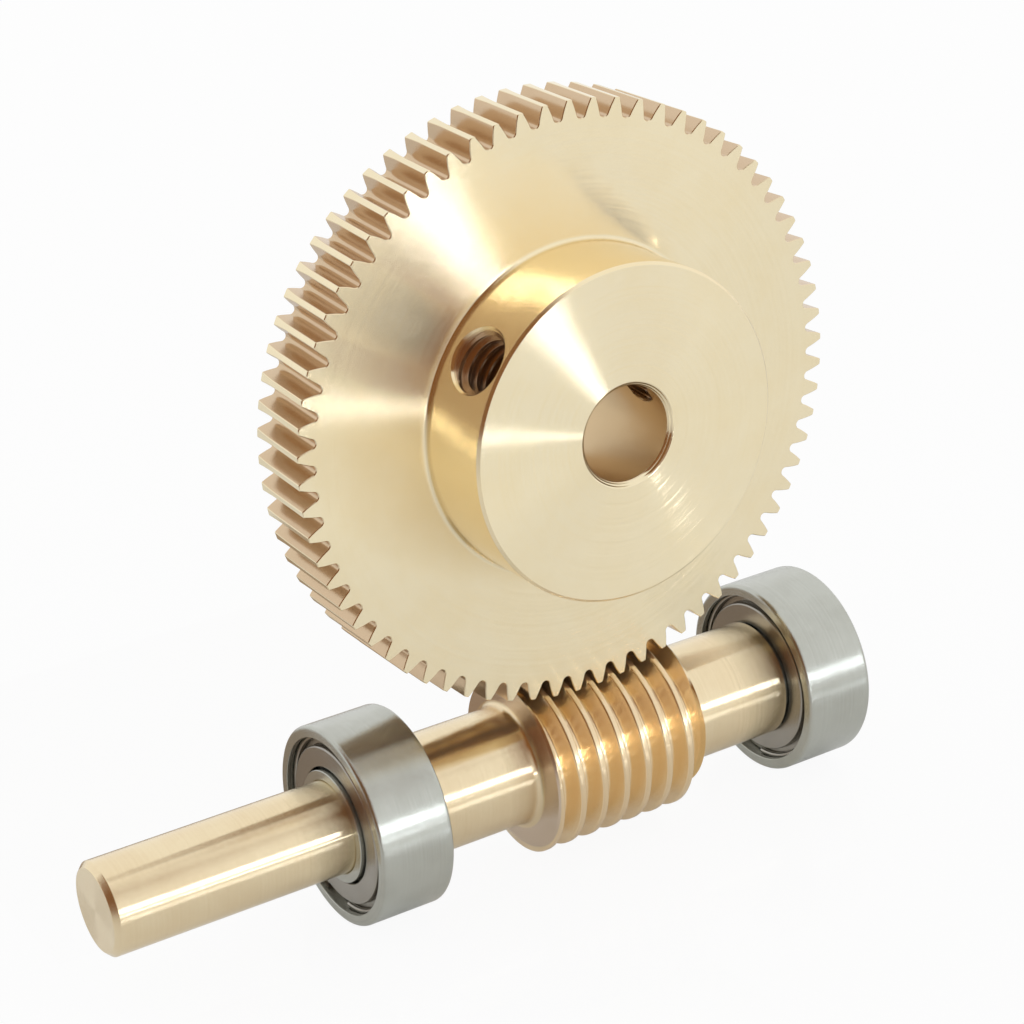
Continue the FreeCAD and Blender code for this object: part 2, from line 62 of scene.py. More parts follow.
# Wheel. The cutter climbs out of each tooth space along the run-out, at the rim's back.
RIM_HALF = 2.5
RIM_INSIDE = 17.3
RIM_EDGE = 0.05
RUNOUT_LENGTH = 1.6
RUNOUT_RISE = 0.2
HUB = 10.5
HUB_END = RIM_HALF + 5.8
HUB_BEVEL = 0.18
BORE = 3
BORE_BEVEL = 0.3
SCREW = 2
SCREW_HEIGHT = RIM_HALF + 3.2
SCREW_ANGLES = (144.5, 54.5)
SCREW_PITCH = 0.7
SINK_FOOT = HUB - 2.35 + SCREW

# Worm shaft, along X from the middle of the input bearing.
STUB_END = -18.5
RELIEF_START = -2.4
RELIEF_END = -1.6
WORM_START = 10.5
WORM_END = 22
FAR_STEP = 30
SHAFT_END = 35
JOURNAL = 3
RELIEF = JOURNAL - 0.2
SHOULDER = 3.9
SHAFT_BEVEL = 0.35
WORM_BEVEL = 0.15
WHEEL_X = WORM_START + (WORM_END - WORM_START) / 2 - 1
WHEEL_MIDDLE = (WHEEL_X, 0, CENTRE_DISTANCE)

# Bearings, with the place of each one's middle along the shaft.
BEARINGS = {"input_bearing": 0, "far_bearing": 32.5}
RING_HALF = 2.5
RING_OUTSIDE = 6.5
LIP = 5.75
LIP_DEPTH = 0.36
SEAT = 5.9
SEAT_FLOOR = 1.45
OUTER_LAND = 5.35
OUTER_GROOVE_HALF = 0.825
RING_BORE = 3.005
INNER_RIM = 3.65
INNER_STEP = 1.7
INNER_LAND = 4.1
INNER_GROOVE_HALF = 0.786
BALL_PLACE = 4.75
RACE = 1.02
WIRE_RING = 5.69
WIRE = 0.178
WIRE_PLACE = 1.83
WIRE_OPENING = 24


# Shapes

def turning(origin, axis, side):
    """Give the function that places a point by its distance along an axis, radius and angle."""
    origin, axis, side = Vector(origin), Vector(axis), Vector(side)
    other = axis.cross(side)

    def place(along, radius, angle):
        around = math.cos(angle) * side + math.sin(angle) * other
        return MM * (origin + along * axis + radius * around)
    return place


def soften(corners, closed=True, steps=4):
    """Round a section's corners, each given as (along, radius, rounding).

    A point a little way along each side keeps the shading of the rounding to itself.
    """
    count = len(corners)
    section = []
    for index, (along, radius, rounding) in enumerate(corners):
        corner = Vector((along, radius))
        at_end = not closed and index in (0, count - 1)
        if not rounding or at_end:
            section.append(corner)
            continue
        back = (Vector(corners[index - 1][:2]) - corner).normalized()
        ahead = (Vector(corners[(index + 1) % count][:2]) - corner).normalized()
        half = back.angle(ahead) / 2
        reach = rounding / math.tan(half)
        middle = corner + (back + ahead).normalized() * rounding / math.sin(half)
        first = back * reach + corner - middle
        last = ahead * reach + corner - middle
        start = math.atan2(first.y, first.x)
        sweep = math.remainder(math.atan2(last.y, last.x) - start, math.tau)
        section.append(corner + back * (reach + rounding / 4))
        for step in range(steps + 1):
            angle = start + sweep * step / steps
            section.append(middle + rounding * Vector((math.cos(angle), math.sin(angle))))
        section.append(corner + ahead * (reach + rounding / 4))
    return section


def divide(section, longest):
    """Break up a section's long runs."""
    divided = []
    for start, end in zip(section, section[1:]):
        parts = max(1, math.ceil((end - start).length / longest))
        divided += [start.lerp(end, part / parts) for part in range(parts)]
    return divided + [section[-1]]


def groove_points(half_width, land, sign):
    """Race groove of a bearing ring, from its right edge to its left edge at the land."""
    edge = math.atan2(land - BALL_PLACE, half_width)
    steps = 10
    return [(RACE * math.cos(angle), BALL_PLACE + RACE * math.sin(angle), 0)
            for angle in (edge + (sign * math.pi - 2 * edge) * step / steps
                          for step in range(steps + 1))]


def skin(columns, wrap=True, loop=False):
    """Lay faces between neighbouring columns of points. Points that coincide are merged."""
    shape = bmesh.new()
    rows = [[shape.verts.new(point) for point in column] for column in columns]
    neighbours = rows[1:] + rows[:1] if wrap else rows[1:]
    for left, right in zip(rows, neighbours):
        if loop:
            left, right = left + left[:1], right + right[:1]
        for low in range(len(left) - 1):
            shape.faces.new((left[low], right[low], right[low + 1], left[low + 1]))
    bmesh.ops.remove_doubles(shape, verts=shape.verts, dist=MERGE)
    return shape


def make_piece(name, shape, sharp=SHARP):
    """Close a shape up, shade it smooth between its sharp edges and make it an object."""
    bmesh.ops.remove_doubles(shape, verts=shape.verts, dist=MERGE)
    bmesh.ops.recalc_face_normals(shape, faces=shape.faces)
    mesh = bpy.data.meshes.new(name)
    shape.to_mesh(mesh)
    shape.free()
    mesh.shade_smooth()
    mesh.set_sharp_from_angle(angle=math.radians(sharp))
    piece = bpy.data.objects.new(name, mesh)
    bpy.context.scene.collection.objects.link(piece)
    return piece


def turn_section(place, section, steps, loop=True):
    """Turn a section round its axis."""
    columns = [[place(point.x, point.y, math.tau * step / steps) for point in section]
               for step in range(steps)]
    return skin(columns, loop=loop)


# Geometry Nodes trees

def start_tree(name, sizes):
    """Start a tree with a named input for each of its sizes, and one for the material."""
    tree = bpy.data.node_groups.new(name, "GeometryNodeTree")
    tree.interface.new_socket("Geometry", in_out="OUTPUT", socket_type="NodeSocketGeometry")
    tree.interface.new_socket("Geometry", in_out="INPUT", socket_type="NodeSocketGeometry")
    for label, kind in sizes.items():
        tree.interface.new_socket(label, in_out="INPUT", socket_type="NodeSocket" + kind)
    tree.interface.new_socket("Material", in_out="INPUT", socket_type="NodeSocketMaterial")
    source = tree.nodes.new("NodeGroupInput")
    return tree, source


def end_tree(tree, source, geometry):
    """Realize what a tree has made and give it its material."""
    realize = tree.nodes.new("GeometryNodeRealizeInstances")
    merge = tree.nodes.new("GeometryNodeMergeByDistance")
    merge.inputs["Distance"].default_value = MERGE
    finish = tree.nodes.new("GeometryNodeSetMaterial")
    result = tree.nodes.new("NodeGroupOutput")
    tree.links.new(geometry, realize.inputs["Geometry"])
    tree.links.new(realize.outputs["Geometry"], merge.inputs["Geometry"])
    tree.links.new(merge.outputs["Geometry"], finish.inputs["Geometry"])
    tree.links.new(source.outputs["Material"], finish.inputs["Material"])
    tree.links.new(finish.outputs["Geometry"], result.inputs["Geometry"])


def grow(piece, tree, material, **sizes):
    """Run a tree on a piece with the given sizes and give the plain mesh that it makes."""
    modifier = piece.modifiers.new(tree.name, "NODES")
    modifier.node_group = tree
    named = {socket.name: socket.identifier for socket in tree.interface.items_tree
             if socket.in_out == "INPUT"}
    modifier[named["Material"]] = material
    for label, value in sizes.items():
        modifier[named[label.replace("_", " ").capitalize()]] = value
    return bake_modifiers(piece)


def bake_modifiers(piece):
    """Turn a piece's modifiers into a plain mesh and remove them."""
    settled = bpy.context.evaluated_depsgraph_get()
    settled.update()
    mesh = bpy.data.meshes.new_from_object(piece.evaluated_get(settled))
    piece.modifiers.clear()
    return mesh


def teeth_round_wheel_tree():
    """Tree that repeats one pitch of the toothed rim round the wheel's axis, along Z."""
    tree, source = start_tree("Teeth round wheel", {"Teeth": "Int"})
    points = tree.nodes.new("GeometryNodePoints")
    index = tree.nodes.new("GeometryNodeInputIndex")
    share = tree.nodes.new("ShaderNodeMath")
    share.operation = "DIVIDE"
    turn = tree.nodes.new("ShaderNodeMath")
    turn.operation = "MULTIPLY"
    turn.inputs[1].default_value = math.tau
    heading = tree.nodes.new("ShaderNodeCombineXYZ")
    place = tree.nodes.new("GeometryNodeInstanceOnPoints")
    tree.links.new(source.outputs["Teeth"], points.inputs["Count"])
    tree.links.new(index.outputs["Index"], share.inputs[0])
    tree.links.new(source.outputs["Teeth"], share.inputs[1])
    tree.links.new(share.outputs["Value"], turn.inputs[0])
    tree.links.new(turn.outputs["Value"], heading.inputs["Z"])
    tree.links.new(points.outputs["Points"], place.inputs["Points"])
    tree.links.new(source.outputs["Geometry"], place.inputs["Instance"])
    tree.links.new(heading.outputs["Vector"], place.inputs["Rotation"])
    end_tree(tree, source, place.outputs["Instances"])
    return tree


def snap_wire_tree():
    """Tree that draws a C-shaped round wire about the Z axis."""
    tree, source = start_tree("Snap wire", {
        "Ring radius": "Float", "Wire radius": "Float", "Start angle": "Float", "Sweep": "Float"})
    path = tree.nodes.new("GeometryNodeCurveArc")
    path.inputs["Resolution"].default_value = 161
    round_wire = tree.nodes.new("GeometryNodeCurvePrimitiveCircle")
    round_wire.inputs["Resolution"].default_value = 16
    body = tree.nodes.new("GeometryNodeCurveToMesh")
    body.inputs["Fill Caps"].default_value = True
    tree.links.new(source.outputs["Ring radius"], path.inputs["Radius"])
    tree.links.new(source.outputs["Start angle"], path.inputs["Start Angle"])
    tree.links.new(source.outputs["Sweep"], path.inputs["Sweep Angle"])
    tree.links.new(source.outputs["Wire radius"], round_wire.inputs["Radius"])
    tree.links.new(path.outputs["Curve"], body.inputs["Curve"])
    tree.links.new(round_wire.outputs["Curve"], body.inputs["Profile Curve"])
    end_tree(tree, source, body.outputs["Mesh"])
    return tree


# Shader maths

class Level:
    """A socket of a finish's nodes, so that maths on it reads as plain sums."""

    def __init__(self, finish, socket):
        self.finish = finish
        self.socket = socket

    def sum(self, operation, first, second):
        return self.finish.add("ShaderNodeMath", {"operation": operation}, {0: first, 1: second})

    def __add__(self, other):
        return self.sum("ADD", self, other)

    def __radd__(self, other):
        return self.sum("ADD", other, self)

    def __sub__(self, other):
        return self.sum("SUBTRACT", self, other)

    def __rsub__(self, other):
        return self.sum("SUBTRACT", other, self)

    def __mul__(self, other):
        return self.sum("MULTIPLY", self, other)

    def __truediv__(self, other):
        return self.sum("DIVIDE", self, other)

    def __pow__(self, other):
        return self.sum("POWER", self, other)


class Finish:
    """A material and its nodes."""

    def __init__(self, name):
        self.material = bpy.data.materials.new(name)
        self.material.use_nodes = True
        self.tree = self.material.node_tree
        self.tree.nodes.clear()

    def add(self, kind, settings=None, inputs=None, output=0):
        """Add a node, set it up, feed its sockets and give one of its outputs."""
        node = self.tree.nodes.new(kind)
        for label, value in (settings or {}).items():
            if label == "stops":
                self.set_stops(node.color_ramp, value)
            else:
                setattr(node, label, value)
        for socket, value in (inputs or {}).items():
            if isinstance(value, Level):
                self.tree.links.new(value.socket, node.inputs[socket])
            else:
                node.inputs[socket].default_value = value
        return Level(self, node.outputs[output]) if node.outputs else None

    def set_stops(self, ramp, stops):
        """Give a colour ramp its two stops."""
        for element, (position, grey) in zip(ramp.elements, stops):
            element.position = position
            element.color = (grey, grey, grey, 1)

    def spot(self, centre=(0, 0, 0)):
        """Place on the object in millimetres, from a centre."""
        home = self.add("ShaderNodeTexCoord", output="Object")
        return self.add("ShaderNodeMapping", inputs={
            "Vector": home, "Scale": (1 / MM,) * 3, "Location": tuple(-part for part in centre)})

    def vectors(self, operation, first, second=None, output=0):
        """Vector maths."""
        inputs = {0: first} if second is None else {0: first, 1: second}
        return self.add("ShaderNodeVectorMath", {"operation": operation}, inputs, output)

    def blend(self, share, first, second):
        """Mix two colours."""
        return self.add("ShaderNodeMix", {"data_type": "RGBA", "clamp_factor": True},
                        {0: share, 6: first, 7: second}, 2)

    def size_of(self, level):
        """A level without its sign."""
        return self.add("ShaderNodeMath", {"operation": "ABSOLUTE"}, {0: level})

    def is_below(self, level, limit, fade=0.03):
        """1 where a level is below its limit, fading to 0 just above it."""
        return self.add("ShaderNodeMapRange", {"clamp": True}, {
            "Value": level, "From Min": limit, "From Max": limit + fade,
            "To Min": 1.0, "To Max": 0.0})

    def noise(self, size, detail=2, **inputs):
        """Noise whose lumps are about one size across, in the units of its coordinate."""
        settings = {"noise_dimensions": "1D" if "W" in inputs else "3D"}
        sockets = {"Scale": 1 / size, "Detail": detail, "Roughness": 0.6, **inputs}
        return self.add("ShaderNodeTexNoise", settings, sockets)

    def show(self, shader):
        """Send a shader to the surface."""
        self.add("ShaderNodeOutputMaterial", inputs={"Surface": shader})
        return self.material


def colour(red, green, blue):
    """A colour for a socket."""
    return (red, green, blue, 1)


def turned_metal(name, axis, centre, bright, deep, gloss, cut_depth, feed, upright=0.5, lean=1,
                 sides=1, zones=()):
    """Metal with the fine rings that a round-nosed tool leaves.

    The rings' slopes spread each light into the fans on a face and the bands on a cylinder that
    turned metal shows. A ring's slope climbs from minus the upright share of the depth to what
    is left of it. The larger the lean, the more of the slopes face the axis. The sides, which
    lie along the axis, have their own share of the depth. A zone is a part with a painted tone
    of its own (painted shade, painted bounce light or a painted highlight) and a roughness of
    its own, given as (lowest radius, highest radius, middle along the axis, reach along it,
    painted tone, how much rougher, whether to leave out what faces along the axis).
    """
    finish = Finish(name)
    spot = finish.spot(centre)
    along = finish.vectors("DOT_PRODUCT", spot, axis, "Value")
    outward = finish.vectors("MULTIPLY", spot, tuple(1 - abs(part) for part in axis))
    radius = finish.vectors("LENGTH", outward, output="Value")
    # Rings follow one another by radius on a face, and along the axis on a cylinder.
    lengthways = 1.37
    ring = radius + along * lengthways

    world_normal = finish.add("ShaderNodeNewGeometry", output="Normal")
    normal = finish.add("ShaderNodeVectorTransform", {
        "vector_type": "NORMAL", "convert_from": "WORLD", "convert_to": "OBJECT"}, {0: world_normal})
    around = finish.vectors("NORMALIZE", finish.vectors("CROSS_PRODUCT", axis, outward))
    downhill = finish.vectors("CROSS_PRODUCT", normal, around)
    chatter = finish.noise(feed * 5, 2, W=ring)
    passes = finish.noise(feed * 60, 2, W=ring + 40)
    drift = finish.noise(1.2, 2, Vector=spot)
    saw = finish.add("ShaderNodeMath", {"operation": "FRACT"}, {0: ring / feed})
    facing = finish.size_of(finish.vectors("DOT_PRODUCT", normal, axis, "Value"))
    slope = ((saw ** lean - upright) * cut_depth * (0.9 + passes * 0.2)
             + (chatter - 0.5) * (cut_depth * 0.16)) * (sides + facing * (1 - sides))
    sway = (drift - 0.5) * (cut_depth * 0.06)
    push = finish.add("ShaderNodeVectorMath", {"operation": "SCALE"},
                      {0: downhill, "Scale": slope + sway})
    tilted = finish.vectors("NORMALIZE", finish.vectors("ADD", normal, push))
    tilt = finish.add("ShaderNodeVectorTransform", {
        "vector_type": "NORMAL", "convert_from": "OBJECT", "convert_to": "WORLD"}, {0: tilted})

    stain = finish.noise(3.1, 3, Vector=spot)
    patch = finish.add("ShaderNodeValToRGB", {"stops": ((0.35, 0), (0.75, 1))}, {"Fac": stain})
    tone = finish.blend(patch * 0.4 + (chatter - 0.5) * 0.4, bright, deep)
    rough = gloss + (chatter - 0.5) * 0.08 + (stain - 0.5) * 0.08
    for low, high, middle, reach, painted_tone, rougher, flanks_only in zones:
        share = (finish.is_below(finish.size_of(radius - (low + high) / 2), (high - low) / 2)
                 * finish.is_below(finish.size_of(along - middle), reach))
        if flanks_only:
            share = share * (1 - facing)
        tone = finish.blend(share, tone, painted_tone)
        rough = rough + share * rougher
    shader = finish.add("ShaderNodeBsdfPrincipled", inputs={
        "Base Color": tone,
        "Metallic": 0.92,
        "Roughness": rough,
        "Normal": tilt,
    })
    return finish.show(shader)


def pressed_metal(name, bright, deep, gloss, grain):
    """Sheet or wire that came smooth out of its tool, with faint drag marks."""
    finish = Finish(name)
    spot = finish.spot()
    cloud = finish.noise(0.8, 3, Vector=spot)
    marks = finish.noise(grain, 3, Vector=spot)
    tone = finish.blend(cloud, bright, deep)
    bumps = finish.add("ShaderNodeBump", inputs={
        "Strength": 0.12, "Distance": 0.00002, "Height": marks})
    shader = finish.add("ShaderNodeBsdfPrincipled", inputs={
        "Base Color": tone, "Metallic": 1.0, "Roughness": gloss + (marks - 0.5) * 0.15,
        "Normal": bumps})
    return finish.show(shader)


def floor_paper():
    """Smooth pale table top, seen as white with part of the shadow left on it."""
    finish = Finish("Pale table")
    home = finish.add("ShaderNodeTexCoord", output="Object")
    cloud = finish.noise(0.05, 2, Vector=home)
    tone = finish.blend(cloud, colour(0.86, 0.86, 0.85), colour(0.9, 0.9, 0.89))
    top = finish.add("ShaderNodeBsdfPrincipled", inputs={
        "Base Color": tone, "Roughness": 0.05, "IOR": 1.5})
    white = finish.add("ShaderNodeEmission", inputs={"Color": colour(1, 1, 1), "Strength": 1.0})
    seen = finish.add("ShaderNodeLightPath", output="Is Camera Ray")
    mirrored = finish.add("ShaderNodeLightPath", output="Is Glossy Ray")
    share = seen * 0.93 + mirrored * 0.2
    return finish.show(finish.add("ShaderNodeMixShader", inputs={0: share, 1: top, 2: white}))


def plain_glow(name, shade):
    """A sheet that shines by itself in one shade, as white paper or as painted shade."""
    finish = Finish(name)
    return finish.show(finish.add("ShaderNodeEmission", inputs={"Color": shade, "Strength": 1}))


def card_brown():
    """Dark brown studio card."""
    finish = Finish("Dark card")
    home = finish.add("ShaderNodeTexCoord", output="Object")
    cloud = finish.noise(0.1, 2, Vector=home)
    tone = finish.blend(cloud, colour(0.25, 0.085, 0.008), colour(0.33, 0.12, 0.015))
    return finish.show(finish.add("ShaderNodeBsdfPrincipled", inputs={
        "Base Color": tone, "Roughness": 0.9, "Specular IOR Level": 0}))


# Worm wheel

def tooth_gap(lift):
    """Section of one tooth space, from the middle of one tooth's land to the next.

    The points are (outward, across), with the space's middle outward from the axis.
    """
    reach = HALF_SPACE / WHEEL_PITCH + PRESSURE
    flank = Vector((WHEEL_BASE * math.cos(reach) + lift, WHEEL_BASE * math.sin(reach)))
    flank_radius = WHEEL_PITCH * math.sin(PRESSURE)
    root = WHEEL_PITCH - DEDENDUM + lift
    depth = flank.x - root
    root_radius = (depth ** 2 + flank.y ** 2 - flank_radius ** 2) / (2 * (depth + flank_radius))
    slant = math.atan2(flank.y, depth - root_radius)
    spread = (WHEEL_TIP ** 2 - flank.length_squared - flank_radius ** 2) / (
        2 * flank.length * flank_radius)
    tip = math.atan2(flank.y, flank.x) - math.acos(spread)
    steps = 5
    half = [Vector((root + root_radius + root_radius * math.cos(angle),
                    root_radius * math.sin(angle)))
            for angle in (math.pi + (slant - math.pi) * step / steps for step in range(steps))]
    half += [flank + flank_radius * Vector((math.cos(angle), math.sin(angle)))
             for angle in (slant - math.pi + (tip - slant + math.pi) * step / steps
                           for step in range(steps + 1))]
    broken = 0.04
    corner = half.pop()
    half.append(corner + (half[-1] - corner).normalized() * broken)
    land_start = math.atan2(corner.y, corner.x) + broken / WHEEL_TIP
    for angle in (land_start, math.pi / TEETH):
        half.append(WHEEL_TIP * Vector((math.cos(angle), math.sin(angle))))
    return [Vector((point.x, -point.y)) for point in reversed(half[1:])] + half


def draw_in(section, distance):
    """Move a tooth space's section into the metal, for the broken edges at the rim's faces."""
    moved = [section[0] - distance * section[0].normalized()]
    for before, point, after in zip(section, section[1:], section[2:]):
        heading = (after - before).normalized()
        moved.append(point + distance * Vector((-heading.y, heading.x)))
    return moved + [section[-1] - distance * section[-1].normalized()]


def one_pitch():
    """One pitch of the toothed rim, with half a tooth each side of its space, about Z."""
    knee = RUNOUT_LENGTH - RIM_HALF
    stations = [(RIM_HALF, RIM_EDGE), (RIM_HALF - RIM_EDGE, 0), (1.2, 0), (0, 0), (knee, 0)]
    stations += [(knee - drop, 0) for drop in (0.3, 0.6, 0.9, 1.2, 1.4)]
    stations += [(RIM_EDGE - RIM_HALF, 0), (-RIM_HALF, RIM_EDGE)]
    shape = bmesh.new()
    rows = []
    for height, inset in stations:
        drop = max(0, (knee - height) / RUNOUT_LENGTH)
        section = tooth_gap(RUNOUT_RISE * drop ** 1.5)
        if inset:
            section = draw_in(section, inset)
        turn = height * MODULE / (2 * WORM_PITCH * WHEEL_PITCH) - math.pi / 2
        around = Matrix.Rotation(turn, 2)
        row = []
        for point in section:
            place = around @ point
            row.append(shape.verts.new(MM * Vector((place.x, place.y, height))))
        rows.append(row)
    for upper, lower in zip(rows, rows[1:]):
        for index in range(len(upper) - 1):
            shape.faces.new((upper[index], upper[index + 1], lower[index + 1], lower[index]))
    for row, height in ((rows[0], RIM_HALF), (rows[-1], -RIM_HALF)):
        inner = []
        for step in range(2, -3, -1):
            angle = step * math.pi / (2 * TEETH) - math.pi / 2
            inner.append(shape.verts.new(MM * Vector((
                RIM_INSIDE * math.cos(angle), RIM_INSIDE * math.sin(angle), height))))
        shape.faces.new(row + inner)
    return make_piece("one_pitch", shape)


def screw_cutter(name, angle):
    """Drilled and countersunk hole, as a solid to cut away, from inside the bore outwards."""
    radial = Vector((math.cos(angle), math.sin(angle), 0))
    place = turning(Vector((0, 0, SCREW_HEIGHT)), radial, (0, 0, 1))
    inner = math.sqrt(BORE ** 2 - SCREW ** 2) - 0.08
    outer = HUB + 0.3
    section = [Vector(point) for point in (
        (inner, 0), (inner, SCREW), (SINK_FOOT, SCREW), (outer, outer - SINK_FOOT + SCREW),
        (outer, 0))]
    return make_piece(name, turn_section(place, section, 72, loop=False))


def make_wheel(material):
    """Toothed rim, disc and hub in one piece, with the bore and both set-screw holes."""
    pitch = one_pitch()
    rim = grow(pitch, teeth_round_wheel_tree(), material, teeth=TEETH)
    bpy.data.objects.remove(pitch)
    section = divide(soften([
        (RIM_HALF, RIM_INSIDE, 0),
        (RIM_HALF, HUB, 0.3),
        (HUB_END - HUB_BEVEL, HUB, 0.03),
        (HUB_END, HUB - HUB_BEVEL, 0.03),
        (HUB_END, BORE + BORE_BEVEL, 0.04),
        (HUB_END - BORE_BEVEL, BORE, 0.04),
        (BORE_BEVEL - RIM_HALF, BORE, 0),
        (-RIM_HALF, BORE + BORE_BEVEL, 0),
        (-RIM_HALF, RIM_INSIDE, 0),
    ], closed=False), 0.55)
    upright = turning((0, 0, 0), (0, 0, 1), (1, 0, 0))
    shape = turn_section(upright, section, 4 * TEETH, loop=False)
    shape.from_mesh(rim)
    wheel = make_piece("worm_wheel_cut", shape)
    cutters = [screw_cutter("screw_cutter_%d" % index, math.radians(angle))
               for index, angle in enumerate(SCREW_ANGLES)]
    for cutter in cutters:
        cut = wheel.modifiers.new("Hole", "BOOLEAN")
        cut.object = cutter
        cut.operation = "DIFFERENCE"
        cut.solver = "EXACT"
    mesh = bake_modifiers(wheel)
    for cutter in cutters:
        bpy.data.objects.remove(cutter)
    wheel.data = mesh
    mesh.set_sharp_from_angle(angle=math.radians(SHARP))
    lay_wheel_down(mesh)
    mesh.materials.clear()
    mesh.materials.append(material)
    return wheel


def lay_wheel_down(mesh):
    """Turn what was drawn about Z so that it lies about the wheel's own axis, hub to -Y."""
    tip_over = Matrix.Rotation(math.pi / 2, 4, "X")
    mesh.transform(Matrix.Translation(MM * Vector(WHEEL_MIDDLE)) @ tip_over)


def thread_section(corners, pitch):
    """Rounded section of a thread over one pitch, as (offset, radius)."""
    section = soften(corners, closed=False, steps=3)

    def radius_at(offset):
        offset %= pitch
        for start, end in zip(section, section[1:]):
            if offset <= end.x:
                share = (offset - start.x) / max(end.x - start.x, 1e-9)
                return start.y + (end.y - start.y) * share
        return section[-1].y
    return [point.x for point in section[:-1]], radius_at


def make_screw_thread(name, angle):
    """Thread inside a set-screw hole: a thin sleeve whose inside follows the thread."""
    crest, valley = SCREW - 0.35, SCREW - 0.01
    flank = (valley - crest) * math.tan(math.radians(30))
    flat = SCREW_PITCH / 8
    marks, radius_at = thread_section([
        (0, crest, 0), (flat, crest, 0.04), (flat + flank, valley, 0.03),
        (flat + flank + flat, valley, 0.03),
        (SCREW_PITCH - flat, crest, 0.04), (SCREW_PITCH, crest, 0)], SCREW_PITCH)
    radial = Vector((math.cos(angle), math.sin(angle), 0))
    place = turning(Vector((0, 0, SCREW_HEIGHT)), radial, (0, 0, 1))
    steps = 60
    outside = SCREW + 0.02
    columns = []
    for step in range(steps + 1):
        turned = math.tau * step / steps
        across = SCREW * math.sin(turned)
        start = math.sqrt(BORE ** 2 - across ** 2) + 0.02
        end = SINK_FOOT - 0.01
        shift = SCREW_PITCH * step / steps
        places = [start] + [
            min(max(start, turns * SCREW_PITCH + mark + shift), end)
            for turns in range(2, 16) for mark in marks] + [end]
        column = [place(start, outside, turned)]
        for along in places:
            cone = along - SINK_FOOT + SCREW
            column.append(place(along, min(max(radius_at(along - shift), cone), valley), turned))
        column.append(place(end, outside, turned))
        columns.append(column + column[:1])
    piece = make_piece(name, skin(columns, wrap=False), 50)
    lay_wheel_down(piece.data)
    return piece


# Worm shaft

def make_worm_shaft():
    """Input stub, journals, shoulders and the single-start worm, all in one piece."""
    place = turning((0, 0, 0), (1, 0, 0), (0, 0, 1))
    slope = math.tan(PRESSURE)
    half_top = HALF_SPACE + MODULE * slope
    half_root = HALF_SPACE - DEDENDUM * slope
    crest_rounding, root_rounding = 0.13, 0.18
    marks, thread_radius = thread_section([
        (0, WORM_TIP, 0), (PITCH / 2 - half_top, WORM_TIP, crest_rounding),
        (PITCH / 2 - half_root, WORM_ROOT, root_rounding),
        (PITCH / 2 + half_root, WORM_ROOT, root_rounding),
        (PITCH / 2 + half_top, WORM_TIP, crest_rounding), (PITCH, WORM_TIP, 0)], PITCH)
    face, narrow = SHOULDER + 0.5, JOURNAL - SHAFT_BEVEL
    edge, fillet, longest = 0.08, 0.4, 1.5
    left = divide(soften([
        (STUB_END, 0, 0), (STUB_END, narrow, edge), (STUB_END + SHAFT_BEVEL, JOURNAL, edge),
        (RELIEF_START, JOURNAL, 0), (RELIEF_START, RELIEF, 0), (RELIEF_END, RELIEF, 0),
        (RELIEF_END, JOURNAL, 0), (RING_HALF, JOURNAL, 0), (RING_HALF, SHOULDER, edge),
        (WORM_START, SHOULDER, fillet), (WORM_START, face, 0)], closed=False), longest)
    right = divide(soften([
        (WORM_END, face, 0), (WORM_END, SHOULDER, fillet), (FAR_STEP, SHOULDER, edge),
        (FAR_STEP, JOURNAL, 0), (SHAFT_END - SHAFT_BEVEL, JOURNAL, edge),
        (SHAFT_END, narrow, edge), (SHAFT_END, 0, 0)], closed=False), longest)
    first, last = WORM_START + WORM_BEVEL, WORM_END - WORM_BEVEL
    steps = 192
    columns = []
    for step in range(steps + 1):
        turned = math.tau * step / steps
        shift = PITCH * step / steps
        places = [WORM_START, first] + [
            min(max(first, WHEEL_X + turns * PITCH + mark + shift), last)
            for turns in range(-4, 5) for mark in marks] + [last, WORM_END]
        column = [place(point.x, point.y, turned) for point in left]
        for along in places:
            inside = min(along - WORM_START, WORM_END - along)
            limit = WORM_TIP - WORM_BEVEL + min(inside, WORM_BEVEL)
            column.append(place(along, min(thread_radius(along - WHEEL_X - shift), limit), turned))
        column += [place(point.x, point.y, turned) for point in right]
        columns.append(column)
    return make_piece("worm_shaft_turned", skin(columns, wrap=False))


# Bearings

def make_outer_ring(name, place):
    """Outer ring with its race, and a lipped recess for the shield and wire at each face."""
    recess = RING_HALF - LIP_DEPTH
    half = [(RING_HALF, RING_OUTSIDE, 0.25), (RING_HALF, LIP, 0.05), (recess, LIP, 0.04),
            (recess, SEAT, 0), (SEAT_FLOOR, SEAT, 0), (SEAT_FLOOR, OUTER_LAND, 0.04)]
    groove = groove_points(OUTER_GROOVE_HALF, OUTER_LAND, 1)
    mirrored = [(-along, radius, rounding) for along, radius, rounding in reversed(half)]
    return make_piece(name, turn_section(place, soften(half + groove + mirrored), 160))


def make_inner_ring(name, place):
    """Inner ring with its race."""
    half = [(RING_HALF, RING_BORE, 0.1), (RING_HALF, INNER_RIM, 0.06), (INNER_STEP, INNER_RIM, 0),
            (INNER_STEP, INNER_LAND, 0.04)]
    groove = groove_points(INNER_GROOVE_HALF, INNER_LAND, -1)
    mirrored = [(-along, radius, rounding) for along, radius, rounding in reversed(half)]
    return make_piece(name, turn_section(place, soften(half + groove + mirrored), 120))


def make_shield(name, place, side):
    """Pressed shield: a dished ring with a flange that the snap wire holds in its recess."""
    corners = [(2.25, 3.8, 0.07), (2.25, 5.15, 0.14), (1.65, 5.15, 0.04), (1.65, 5.86, 0.05),
               (1.46, 5.86, 0.05), (1.46, 4.95, 0.12), (2.05, 4.95, 0.05), (2.05, 3.8, 0.06)]
    section = soften([(side * along, radius, rounding) for along, radius, rounding in corners])
    return make_piece(name, turn_section(place, section, 144))


